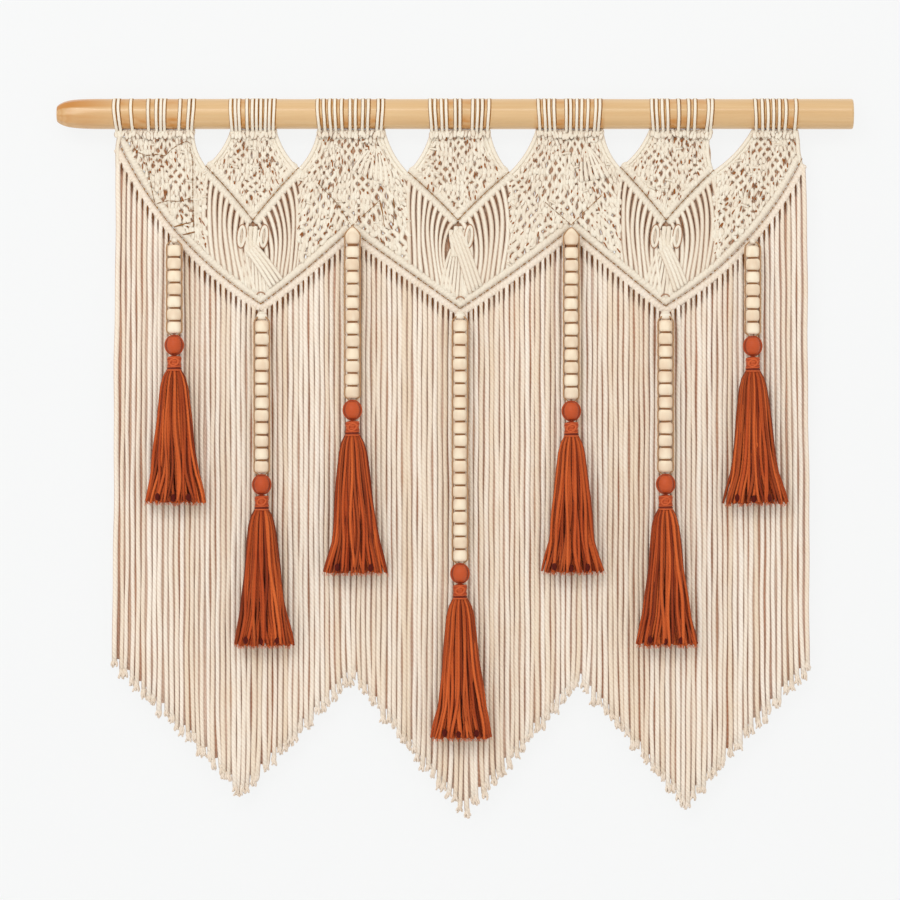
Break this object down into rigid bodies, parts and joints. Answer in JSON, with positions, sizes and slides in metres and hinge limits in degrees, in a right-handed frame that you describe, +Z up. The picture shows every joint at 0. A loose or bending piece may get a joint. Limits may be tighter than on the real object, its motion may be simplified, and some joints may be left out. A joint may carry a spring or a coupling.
{
  "type": "macrame wall hanging on a wooden rod",
  "caption": "Macrame panel wrapped over a wooden rod, with V-shaped knotted rows, a long pointed cord fringe, and hanging strings of wooden beads that end in tassels.",
  "frame": {"origin": "middle of the rod's axis, halfway along the rod", "axes": "+X along the rod towards its square-cut end, +Y into the wall behind, +Z up; the front faces -Y"},
  "size_m": [0.66, 0.0373, 0.5932],
  "materials": {
    "rod_wood": "pale smooth wood with a soft satin sheen and fine lengthwise grain",
    "cotton_cord": "natural undyed cotton cord, matt, lightly twisted",
    "bead_wood": "pale untreated wood, matt to satin",
    "tassel_yarn": "terracotta yarn, soft and matt with a slight sheen"
  },
  "bodies": {
    "root": {"rod": "rod_wood", "knotted_panel": "cotton_cord", "fringe_left": "cotton_cord", "fringe_middle": "cotton_cord", "fringe_right": "cotton_cord", "bead_string_1": "bead_wood", "bead_string_2": "bead_wood", "bead_string_3": "bead_wood", "bead_string_4": "bead_wood", "bead_string_5": "bead_wood", "bead_string_6": "bead_wood", "bead_string_7": "bead_wood", "tassel_head_1": "tassel_yarn", "tassel_head_2": "tassel_yarn", "tassel_head_3": "tassel_yarn", "tassel_head_4": "tassel_yarn", "tassel_head_5": "tassel_yarn", "tassel_head_6": "tassel_yarn", "tassel_head_7": "tassel_yarn", "tassel_1": "tassel_yarn", "tassel_2": "tassel_yarn", "tassel_3": "tassel_yarn", "tassel_4": "tassel_yarn", "tassel_5": "tassel_yarn", "tassel_6": "tassel_yarn", "tassel_7": "tassel_yarn"}
  },
  "joints": []
}
